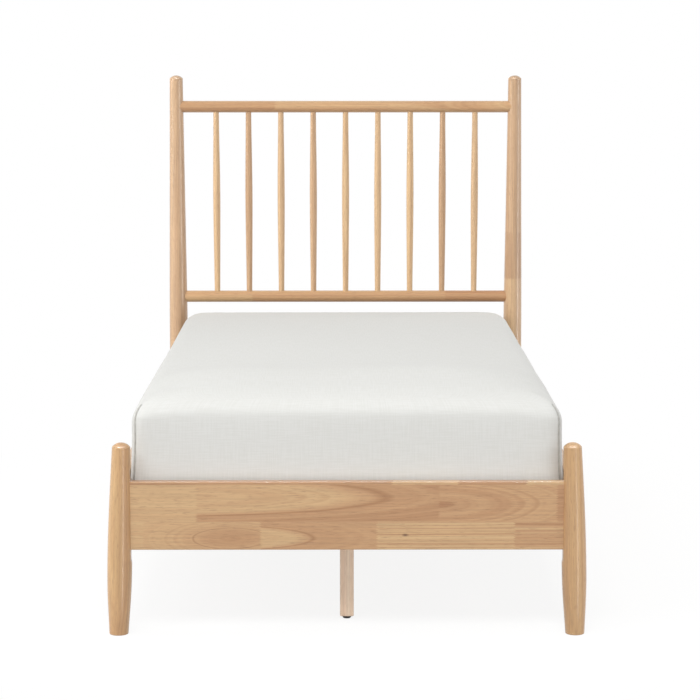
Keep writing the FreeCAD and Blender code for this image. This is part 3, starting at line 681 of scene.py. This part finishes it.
def padForm(points, make):
    # the box with rolled edges, rounded corners, bowed sides that settle outwards, and a crowned top
    halfX, halfY = padHalf.x, padHalf.y
    edgeTop = padThick - make["crown"]
    x, y, h = points.T.copy()
    insetX, insetY = halfX - abs(x), halfY - abs(y)
    inset = np.minimum(insetX, insetY)
    rolled, height = inset.copy(), h.copy()
    headward = np.clip((y + halfY) / (2 * halfY), 0, 1)  # 0 at the foot end, 1 at the head end
    footHalf = headward < 0.5
    topRoll = make["roll"] + (make["headRoll"] - make["roll"]) * headward
    atFoot = footHalf * np.clip((insetX - insetY) / make["rollBlend"] + 0.5, 0, 1)
    rollIn, rollDown = (topRoll + (size - topRoll) * atFoot for size in make["footRoll"])
    for reachIn, reachDown, depth, isTop in (
        (rollIn, rollDown, edgeTop - h, True), (make["baseRoll"], make["baseRoll"], h, False),
    ):
        over, down = np.maximum(0, 1 - inset / reachIn), np.maximum(0, 1 - depth / reachDown)
        bothIn = (over > 0) & (down > 0)
        roundOver, roundDown = roundOff(over, down)
        rolled = np.where(bothIn, reachIn * (1 - roundOver), rolled)
        bent = reachDown * (1 - roundDown)
        height = np.where(bothIn, edgeTop - bent if isTop else bent, height)
    x = x * (halfX - rolled) / np.maximum(halfX - inset, noZero)
    y = y * (halfY - rolled) / np.maximum(halfY - inset, noZero)
    corner = np.where(footHalf, make["corner"], make["headCorner"])
    coreX, coreY = halfX - corner, halfY - corner
    overX, overY = np.maximum(0, abs(x) - coreX), np.maximum(0, abs(y) - coreY)
    roundX, roundY = roundOff(overX, overY)
    x, y = np.sign(x) * (abs(x) - overX + roundX), np.sign(y) * (abs(y) - overY + roundY)
    alongX, alongY = np.minimum(1, abs(x) / coreX), np.minimum(1, abs(y) / coreY)
    rise = np.clip((h - make["baseRoll"]) / (edgeTop - make["roll"] - make["baseRoll"]), 0, 1)
    settled = make["spread"] * (1 - headward) * (1 - rise) ** 2
    sideBow = np.where(footHalf, make["sideBow"], make["headBow"])
    x = x * (1 - sideBow / halfX * alongY ** 2 + settled / halfX)
    y = y * (1 - make["endBow"] / halfY * alongX ** 2)
    pastRoll = (rolled - make["roll"]) / (make["crownReach"] - make["roll"])
    onTop = np.clip(pastRoll, 0, 1) * (h > edgeTop - nearly)
    height = height + make["crown"] * np.sin(onTop * math.pi / 2)
    aboveBase = np.maximum(0, height - make["baseRoll"]) / (padThick - make["baseRoll"])
    height = height - make["headFall"] * aboveBase * y / (2 * halfY)
    return np.stack([x, y, padLow.z + height], axis=1)


def swell(start, faces, held, make):
    # foam swelling into its cover: a pressed-up cloth skin, capped so that it stays in its place
    scene = bpy.context.scene
    mesh = bpy.data.meshes.new("swelling")
    mesh.from_pydata(start.tolist(), [], faces)
    skin = addObject("swelling", mesh)
    group = skin.vertex_groups.new(name="held")
    group.add(list(range(len(start))), make["hold"], "REPLACE")
    group.add([int(v) for v in np.nonzero(held)[0]], 1.0, "REPLACE")
    cloth = skin.modifiers.new("swell", "CLOTH")
    for key, value in make["cover"].items():
        setattr(cloth.settings, key, value)
    cloth.settings.vertex_group_mass = group.name
    cloth.settings.effector_weights.gravity = 0
    cloth.collision_settings.use_collision = False
    cloth.point_cache.frame_start = 1
    cloth.point_cache.frame_end = make["frames"]
    for number in range(1, make["frames"] + 1):
        scene.frame_set(number)
    result = evaluatedMesh(skin)
    moved = np.empty(len(result.vertices) * 3)
    result.vertices.foreach_get("co", moved)
    moved = moved.reshape(-1, 3) - start
    bpy.data.objects.remove(skin)
    bpy.data.meshes.remove(mesh)
    bpy.data.meshes.remove(result)
    scene.frame_set(1)
    size = np.linalg.norm(moved, axis=1, keepdims=True)
    print(f"swell: mean {size.mean() * 1000:.2f} mm, most {size.max() * 1000:.1f} mm")
    return start + moved * (make["cap"] * np.tanh(size / make["cap"])) / np.maximum(size, noZero)


def wave(points, faces, make):
    # soft waves over the whole pad, none at its base
    mesh = bpy.data.meshes.new("waves")
    mesh.from_pydata(points.tolist(), [], faces)
    normals = np.array([v.normal for v in mesh.vertices])
    bpy.data.meshes.remove(mesh)
    waveFrom = Vector(make["waveFrom"])
    lift = np.array([noise.noise(Vector(p) / make["waveLength"] + waveFrom) for p in points])
    x, y, z = points.T
    free = np.clip((z - padLow.z) / padThick, 0, 1)
    waved = points + normals * (make["waveHeight"] * lift * free)[:, None]

    # plumper at the foot end's roll and behind it, with a dip beside the middle
    def hump(place, at, reach):
        return np.exp(-((place - at) / reach) ** 2)

    across = np.clip(1 - (x / padHalf.x) ** make["acrossPower"], 0, 1)
    inner = across * np.clip(1 - (y / padHalf.y) ** make["alongPower"], 0, 1)
    dip = 1 - make["dipShare"] * hump(x, make["dipAt"], make["dipReach"])
    plump = hump(y, make["plumpAt"], make["plumpReach"]) * dip * inner * free ** make["plumpPower"]
    footLift = hump(y, -padHalf.y, make["footLiftReach"]) * across * free ** make["footLiftPower"]
    waved[:, 2] += make["plump"] * plump + make["footLift"] * footLift
    return waved


def addWeave(mesh, flat):
    # the cloth's flat coordinates in metres, one pair for each face corner
    layer = mesh.uv_layers.new(name="weave")
    layer.data.foreach_set("uv", np.asarray(flat, np.float32).ravel())


def flatPlace(point, wall):
    x, y, h = point
    fall = padThick - h
    if wall in ("foot", "head"):
        return x, math.copysign(padHalf.y + fall, y)
    if wall in ("left", "right"):
        return math.copysign(padHalf.x + fall, x), y
    return x, y


gridPoints, gridFaces, gridWalls = padGrid(mattressMake)
padPoints = padForm(gridPoints, mattressMake)
atBase = gridPoints[:, 2] <= mattressMake["baseRoll"] + nearly
padPoints = swell(padPoints, gridFaces, atBase, mattressMake)
padPoints = wave(padPoints, gridFaces, mattressMake)

padMesh = bpy.data.meshes.new("mattress pad")
padMesh.from_pydata(padPoints.tolist(), [], gridFaces)
addWeave(padMesh, [flatPlace(gridPoints[v], wall) for face, wall in zip(gridFaces, gridWalls) for v in face])
padMesh.materials.append(ticking)
smoothMesh(padMesh)
padNormals = np.array([v.normal for v in padMesh.vertices])
padPiece = meshPiece("mattress_pad", padMesh, "frame")
soften(padPiece)
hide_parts("mattress")
print("mattress made,", len(padMesh.polygons), "faces")

# Fitted sheet

sheetMake = {
    "gap": 0.0005, "thickness": 0.0012, "hem": mattressMake["baseRoll"],
    "flat": (1.362, 2.284), "cornerCut": 0.195,  # cut from a rectangle less four corner squares
    "pullHeight": 0.0012, "pullLength": 0.045, "pullReach": 0.22,  # short pulls beside the corner seams
    "pullDraw": 0.35, "pullFrom": (5.3, 0.7, 2.9),
    "seamTurn": 0.0290,  # place of a corner seam past the start of the corner
    "seamPinch": 0.0012, "seamWidth": 0.0032, "seamFoot": 0.002, "seamTop": 0.004, "seamPoints": 40,
}


def makeSheetMesh():
    chosen = [
        (face, wall) for face, wall in zip(gridFaces, gridWalls)
        if wall != "base" and min(gridPoints[v][2] for v in face) >= sheetMake["hem"] - nearly
    ]
    used = sorted({v for face, _ in chosen for v in face})
    renamed = {v: number for number, v in enumerate(used)}
    outside = padPoints[used] + padNormals[used] * (sheetMake["gap"] + sheetMake["thickness"])
    mesh = bpy.data.meshes.new("fitted sheet")
    mesh.from_pydata(outside.tolist(), [], [[renamed[v] for v in face] for face, _ in chosen])
    addWeave(mesh, [flatPlace(gridPoints[v], wall) for face, wall in chosen for v in face])
    smoothMesh(mesh)
    return mesh


def seamPaths(surface):
    # the four corner seams, from the hem up into the rolled edge, laid on the sheet
    turn = padHalf.y - mattressMake["corner"] + sheetMake["seamTurn"]
    top = padThick - mattressMake["crown"] - sheetMake["seamTop"]
    heights = np.linspace(sheetMake["hem"] + sheetMake["seamFoot"], top, sheetMake["seamPoints"])
    paths = []
    for sideX in (-1, 1):
        for sideY in (-1, 1):
            box = np.array([(sideX * padHalf.x, sideY * turn, h) for h in heights])
            paths.append([surface.find_nearest(Vector(p))[0] for p in padForm(box, mattressMake)])
    return paths


def wrinkle(mesh, paths):
    # short pulls that fan out from the corner seams, and the seams drawn in, with a painted shade along them
    # kept for the cloth's colour
    creaseShade = np.zeros(len(mesh.vertices), np.float32)
    seamPoints = np.array([p for path in paths for p in path])
    moved = np.array([v.co for v in mesh.vertices])
    draw, pullFrom = sheetMake["pullDraw"], Vector(sheetMake["pullFrom"])
    for number, vertex in enumerate(mesh.vertices):
        p = vertex.co
        away = np.linalg.norm(seamPoints - moved[number], axis=1).min()
        fade = math.exp(-(away / sheetMake["pullReach"]) ** 2)
        stretched = Vector((p.x * draw, p.y * draw, p.z)) / sheetMake["pullLength"]
        lift = fade * sheetMake["pullHeight"] * (0.5 + 0.5 * noise.noise(stretched + pullFrom))
        creaseShade[number] = math.exp(-(away / sheetMake["seamWidth"]) ** 2)
        moved[number] += np.array(vertex.normal) * (lift - sheetMake["seamPinch"] * float(creaseShade[number]))
    mesh.vertices.foreach_set("co", moved.ravel())
    # the painted shade along the seams is stored for the cloth's colour to read
    mesh.attributes.new("seamCreaseShade", "FLOAT", "POINT").data.foreach_set("value", creaseShade)
    mesh.update()


roughSheet = addObject("rough sheet", makeSheetMesh())
soften(roughSheet)
fineSheet = evaluatedMesh(roughSheet)
bpy.data.objects.remove(roughSheet)
sheetSurface = BVHTree.FromPolygons(
    [v.co.copy() for v in fineSheet.vertices], [list(p.vertices) for p in fineSheet.polygons]
)
seams = seamPaths(sheetSurface)
wrinkle(fineSheet, seams)
fineSheet.materials.append(sheetCotton)
sheetPiece = meshPiece("fitted_cotton_sheet", fineSheet, "frame")
thicken = sheetPiece.modifiers.new("cloth thickness", "SOLIDIFY")
thicken.thickness = sheetMake["thickness"]
thicken.offset = -1
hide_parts("fitted_sheet")
print("sheet made,", len(fineSheet.polygons), "faces")

# Sewn edges, by Geometry Nodes along their paths

edgeSides = {"roll": 8, "thread": 6}  # faces round a rolled edge and round its thread


def newTree(name, inputs):
    tree = bpy.data.node_groups.new(name, "GeometryNodeTree")
    for label, kind in inputs.items():
        tree.interface.new_socket(label, in_out="INPUT", socket_type="NodeSocket" + kind)
    tree.interface.new_socket("Geometry", in_out="OUTPUT", socket_type="NodeSocketGeometry")
    return tree, addNode(tree, "NodeGroupInput").outputs


def runTree(source, tree, values):
    # the tree's result on this object as a plain mesh, with the modifier and the object gone again
    run = source.modifiers.new("run", "NODES")
    run.node_group = tree
    for item in tree.interface.items_tree:
        if item.in_out == "INPUT" and item.name in values:
            run[item.identifier] = values[item.name]
    mesh = evaluatedMesh(source)
    source.modifiers.remove(run)
    bpy.data.objects.remove(source)
    smoothMesh(mesh)
    return mesh


def sewnEdgeTree():
    # a rolled edge along the path, with stitches that lie along it
    tree, given = newTree("sewn edge", {
        "Geometry": "Geometry", "Roll Radius": "Float", "Stitch Spacing": "Float", "Stitch Length": "Float",
        "Thread Radius": "Float", "Cloth": "Material", "Thread": "Material",
    })
    profile = addNode(
        tree, "GeometryNodeCurvePrimitiveCircle", {"Resolution": edgeSides["roll"]},
        {"Radius": given["Roll Radius"]},
    )
    rolled = addNode(
        tree, "GeometryNodeCurveToMesh", {"Fill Caps": True},
        {"Curve": given["Geometry"], "Profile Curve": profile},
    )
    rolledCloth = addNode(
        tree, "GeometryNodeSetMaterial", links={"Geometry": rolled, "Material": given["Cloth"]}
    )
    points = addNode(
        tree, "GeometryNodeResampleCurve", {"mode": "LENGTH"},
        {"Curve": given["Geometry"], "Length": given["Stitch Spacing"]},
    )
    stitch = addNode(
        tree, "GeometryNodeMeshCylinder", {"Vertices": edgeSides["thread"], "Side Segments": 1},
        {"Radius": given["Thread Radius"], "Depth": given["Stitch Length"]},
    )
    tangent = addNode(tree, "GeometryNodeInputTangent")
    lie = addNode(tree, "FunctionNodeAlignRotationToVector", {"axis": "Z"}, {"Vector": tangent})
    normal = addNode(tree, "GeometryNodeInputNormal")
    proud = addNode(
        tree, "ShaderNodeVectorMath", {"operation": "SCALE"}, {0: normal, "Scale": given["Roll Radius"]}
    )
    lifted = addNode(tree, "GeometryNodeSetPosition", links={"Geometry": points, "Offset": proud})
    stitches = addNode(
        tree, "GeometryNodeInstanceOnPoints", links={"Points": lifted, "Instance": stitch, "Rotation": lie}
    )
    real = addNode(tree, "GeometryNodeRealizeInstances", links={"Geometry": stitches})
    sewn = addNode(tree, "GeometryNodeSetMaterial", links={"Geometry": real, "Material": given["Thread"]})
    both = addNode(tree, "GeometryNodeJoinGeometry")
    for part in (sewn, rolledCloth):
        tree.links.new(part.outputs[0], both.inputs[0])
    addNode(tree, "NodeGroupOutput", links={0: both})
    return tree


def pathCurve(name, paths, closed):
    data = bpy.data.curves.new(name, "CURVE")
    data.dimensions = "3D"
    for path in paths:
        line = data.splines.new("POLY")
        line.points.add(len(path) - 1)
        line.points.foreach_set("co", [c for p in path for c in (*p, 1.0)])
        line.use_cyclic_u = closed
    return addObject(name, data)


sewnEdge = sewnEdgeTree()
seamMake = {
    "Roll Radius": 0.0009, "Stitch Spacing": 0.0046, "Stitch Length": 0.0032, "Thread Radius": 0.00035,
    "Cloth": sewingThread, "Thread": sewingThread,
}
seamMesh = runTree(pathCurve("corner seams", seams, False), sewnEdge, seamMake)
seamPiece = meshPiece("sheet_corner_seams", seamMesh, "frame")

# tape edge round the underside of the mattress
tapeMake = {
    "Roll Radius": 0.0035, "Stitch Spacing": 0.009, "Stitch Length": 0.006, "Thread Radius": 0.0005,
    "Cloth": ticking, "Thread": sewingThread,
    "height": 0.004, "pointsAcross": 60, "pointsAlong": 110,
}
across = np.linspace(-padHalf.x, padHalf.x, tapeMake["pointsAcross"], endpoint=False)
along = np.linspace(-padHalf.y, padHalf.y, tapeMake["pointsAlong"], endpoint=False)
around = [(x, -padHalf.y) for x in across] + [(padHalf.x, y) for y in along]
around += [(-x, -y) for x, y in around]  # the other end and side
tapePath = padForm(np.array([(x, y, tapeMake["height"]) for x, y in around]), mattressMake)
tapeMesh = runTree(pathCurve("tape edge", [tapePath.tolist()], True), sewnEdge, tapeMake)
tapeMesh.uv_layers.new(name="weave")
meshPiece("mattress_tape_edge", tapeMesh, "frame")
print("seams sewn")

# Leveller threads

threadMake = {"pitch": 0.00125, "core": 0.00378, "ridge": 0.00034, "stepsPerTurn": 20, "ridgeSides": 4}


def threadTree():
    # one ridge wound up the stud
    tree, given = newTree("wound thread", {
        "Geometry": "Geometry", "Turns": "Float", "Rise": "Float", "Core": "Float", "Ridge": "Float",
        "Base": "Vector", "Steel": "Material",
    })
    spiral = addNode(
        tree, "GeometryNodeCurveSpiral", {"Resolution": threadMake["stepsPerTurn"]},
        {"Rotations": given["Turns"], "Height": given["Rise"], "Start Radius": given["Core"],
         "End Radius": given["Core"]},
    )
    profile = addNode(
        tree, "GeometryNodeCurvePrimitiveCircle", {"Resolution": threadMake["ridgeSides"]},
        {"Radius": given["Ridge"]},
    )
    ridge = addNode(
        tree, "GeometryNodeCurveToMesh", {"Fill Caps": True}, {"Curve": spiral, "Profile Curve": profile}
    )
    placed = addNode(tree, "GeometryNodeTransform", links={"Geometry": ridge, "Translation": given["Base"]})
    real = addNode(tree, "GeometryNodeRealizeInstances", links={"Geometry": placed})
    plated = addNode(tree, "GeometryNodeSetMaterial", links={"Geometry": real, "Material": given["Steel"]})
    addNode(tree, "NodeGroupOutput", links={0: plated})
    return tree


woundThread = threadTree()
for place in legPlaces:
    stud = "leveller_stud_" + place
    axis = middleOf(stud)
    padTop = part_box("leveller_pad_" + place)[1].z
    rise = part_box(stud)[1].z - padTop - 2 * threadMake["pitch"]
    wound = runTree(addObject("blank", bpy.data.meshes.new("blank")), woundThread, {
        "Turns": rise / threadMake["pitch"], "Rise": rise,
        "Core": threadMake["core"], "Ridge": threadMake["ridge"],
        "Base": (axis.x, axis.y, padTop + threadMake["pitch"]), "Steel": zincSteel,
    })
    meshPiece("leveller_thread_" + place, wound, stud)
print("threads wound")

# Studio

headPosts = ["head_post_left", "head_post_right"]
postNames = ["foot_post_left", "foot_post_right", *headPosts]
uprightNames = [*headPosts, *spindleNames]
rightNames = [*uprightNames, "foot_post_right"]
railLow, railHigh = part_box("foot_rail")
studio = {
    "floorSize": 60.0, "floorColour": "#D2D2D2", "floorFace": "#FFFFFF",
    "shadowShare": 0.12, "shadowFrom": 1.0, "shadowReach": 1.6,  # a faint shadow, which ends near the bed
    "ambient": 0.385,
    "lamps": [
        # name, place, aim, size, watts, and the pieces it lights where not all
        ("front softbox", (-0.6, -6.95, 9.1), (0, -0.4, 0.4), (5.0, 3.5), 660, None),
        ("left softbox", (-5.6, -5.4, 7.2), (0, -0.4, 0.4), (4.0, 4.0), 220, None),
        ("right softbox", (5.5, -4.0, 3.0), (0, -0.4, 0.4), (3.0, 3.0), 60, None),
        ("right rim panel", (3.2, 2.6, 1.1), (0, 0.3, 0.7), (1.6, 2.4), 40, None),
        ("left panel", (-3.6, -0.7, 1.7), (0, 0.9, 0.8), (1.6, 1.8), 46, None),
        ("right panel", (3.6, -0.7, 1.7), (0, 0.9, 0.8), (1.6, 1.8), 6, None),
        ("left side panel", (-7.5, -2.0, 1.4), (0, 0.7, 0.7), (2.0, 2.4), 330, uprightNames),
        ("left foot panel", (-7.5, -2.0, 1.4), (0, -0.9, 0.3), (2.0, 2.4), 125, ["foot_post_left"]),
        ("right side panel", (7.5, -1.0, 1.2), (0, 0.7, 0.7), (2.0, 2.4), 70, rightNames),
        ("leg fill", (0, -3.2, 0.25), (0, -0.835, 0.1), (1.2, 0.3), 9, legNames),
    ],
    # lamps that show only as highlights in the posts' lacquer: two overhead, and a strip beside each post
    "glints": [("left glint", (-2.7, -4.2, 10.4)), ("right glint", (2.7, -4.2, 10.4))],
    "glintAim": (0, 0, 0.4), "glintSize": (7.0, 2.0), "glintWatts": 1500,
    "stripAway": 0.14, "stripWidth": 0.012,
    "strips": [
        # post, the way to the strip in degrees to the right of straight ahead, the strip's foot and top,
        # and watts per metre
        ("foot_post_left", 32, 0.0, 0.52, 0.25), ("foot_post_right", 28, 0.0, 0.52, 0.25),
        ("head_post_left", 54, 0.25, 1.2, 0.4), ("head_post_right", 60, 0.25, 1.2, 0.5),
    ],
    "edgeStrips": [
        # name, piece, whether it shows only as a highlight, the edge's Y and Z, the way from there to the
        # strip, its width, and watts
        ("rail edge strip", "foot_rail", True, (railLow.y, railHigh.z), (-0.024, 0.14), 0.012, 4.0),
        ("hem strip", "fitted_cotton_sheet", False, (padLow.y, railHigh.z + 0.012), (-0.03, -0.007),
         0.006, 0.018),
    ],
}
photoCamera = {
    "lens": 121.37, "sensor": 36.0, "place": (-0.0108, -6.180, 1.399), "pitchDown": 8.20, "turnRight": 0.194,
}


def seenRays(tree):
    # 1 where the camera sees a surface, straight or mirrored, and 0 where the surface only passes light on
    rays = addNode(tree, "ShaderNodeLightPath").outputs
    seen = addNode(
        tree, "ShaderNodeMath", {"operation": "MAXIMUM"}, {0: rays["Is Camera Ray"], 1: rays["Is Glossy Ray"]}
    )
    return addNode(
        tree, "ShaderNodeMath", {"operation": "MAXIMUM"}, {0: seen, 1: rays["Is Transmission Ray"]}
    )


# Studio paper, matt and uncoated: white to the eye, with only a trace of the bed's shadow
floorMesh = bpy.data.meshes.new("studio floor")
reach = studio["floorSize"] / 2
floorCorners = [(-reach, -reach, 0), (reach, -reach, 0), (reach, reach, 0), (-reach, reach, 0)]
floorMesh.from_pydata(floorCorners, [], [(0, 1, 2, 3)])
addObject("studio floor", floorMesh)
floorPaper, tree = newMaterial("pale studio paper")
paper = addNode(tree, "ShaderNodeBsdfDiffuse", {"Color": linearColour(studio["floorColour"])})
paperFace = addNode(tree, "ShaderNodeBsdfDiffuse", {"Color": linearColour(studio["floorFace"])})
white = addNode(tree, "ShaderNodeEmission", {"Strength": 1.0})
where = addNode(tree, "ShaderNodeTexCoord")
outwards = addNode(tree, "ShaderNodeVectorMath", {"operation": "LENGTH"}, {0: where.outputs["Object"]})
nearBed = addNode(
    tree, "ShaderNodeMapRange",
    spread((studio["shadowFrom"], studio["shadowReach"]), (studio["shadowShare"], 0)),
    {"Value": outwards.outputs["Value"]},
)
keepShadow = addNode(tree, "ShaderNodeMixShader", links={0: nearBed, 1: white, 2: paperFace})
finishMaterial(tree, addNode(tree, "ShaderNodeMixShader", links={0: seenRays(tree), 1: paper, 2: keepShadow}))
floorMesh.materials.append(floorPaper)

world = bpy.data.worlds.new("white studio")
bpy.context.scene.world = world
world.use_nodes = True
tree = world.node_tree
tree.nodes.clear()
soft, bright = (
    addNode(tree, "ShaderNodeBackground", {"Color": linearColour("#FFFFFF"), "Strength": strength})
    for strength in (studio["ambient"], 1.0)
)
backdrop = addNode(tree, "ShaderNodeMixShader", links={0: seenRays(tree), 1: soft, 2: bright})
addNode(tree, "ShaderNodeOutputWorld", links={"Surface": backdrop})


def addLamp(name, place, aim, size, watts, onto, asGloss):
    lampData = bpy.data.lights.new(name, "AREA")
    lampData.shape = "RECTANGLE"
    lampData.size, lampData.size_y = size
    lampData.energy = watts
    lamp = addObject(name, lampData)
    lamp.location = place
    lamp.rotation_euler = (Vector(aim) - Vector(place)).to_track_quat("-Z", "Y").to_euler()
    lamp.visible_camera = False
    lamp.visible_glossy = asGloss
    lamp.visible_diffuse = not asGloss
    if onto:
        lit = bpy.data.collections.new("lit by " + name)
        for pieceName in onto:
            lit.objects.link(nodes[pieceName] if pieceName in nodes else bpy.data.objects[pieceName])
        lamp.light_linking.receiver_collection = lit


for name, place, aim, size, watts, onto in studio["lamps"]:
    addLamp(name, place, aim, size, watts, onto, False)
for name, place in studio["glints"]:
    addLamp(name, place, studio["glintAim"], studio["glintSize"], studio["glintWatts"], postNames, True)
for post, away, bottom, top, wattsPerMetre in studio["strips"]:
    axis = middleOf(post)
    aim = Vector((axis.x, axis.y, (bottom + top) / 2))
    towards = Vector((math.sin(math.radians(away)), -math.cos(math.radians(away)), 0))
    place = aim + towards * studio["stripAway"]
    height = top - bottom
    addLamp(post + " strip", place, aim, (studio["stripWidth"], height), wattsPerMetre * height, [post], True)
for name, piece, asGloss, edge, away, width, watts in studio["edgeStrips"]:
    aim = Vector((0, *edge))
    addLamp(name, aim + Vector((0, *away)), aim, (2 * padHalf.x, width), watts, [piece], asGloss)

cameraData = bpy.data.cameras.new("photo camera")
cameraData.lens = photoCamera["lens"]
cameraData.sensor_width = photoCamera["sensor"]
camera = addObject("photo camera", cameraData)
camera.location = photoCamera["place"]
camera.rotation_euler.x = math.radians(90 - photoCamera["pitchDown"])
camera.rotation_euler.z = math.radians(-photoCamera["turnRight"])
bpy.context.scene.camera = camera
bpy.context.scene.view_settings.view_transform = "Standard"
print("studio set")
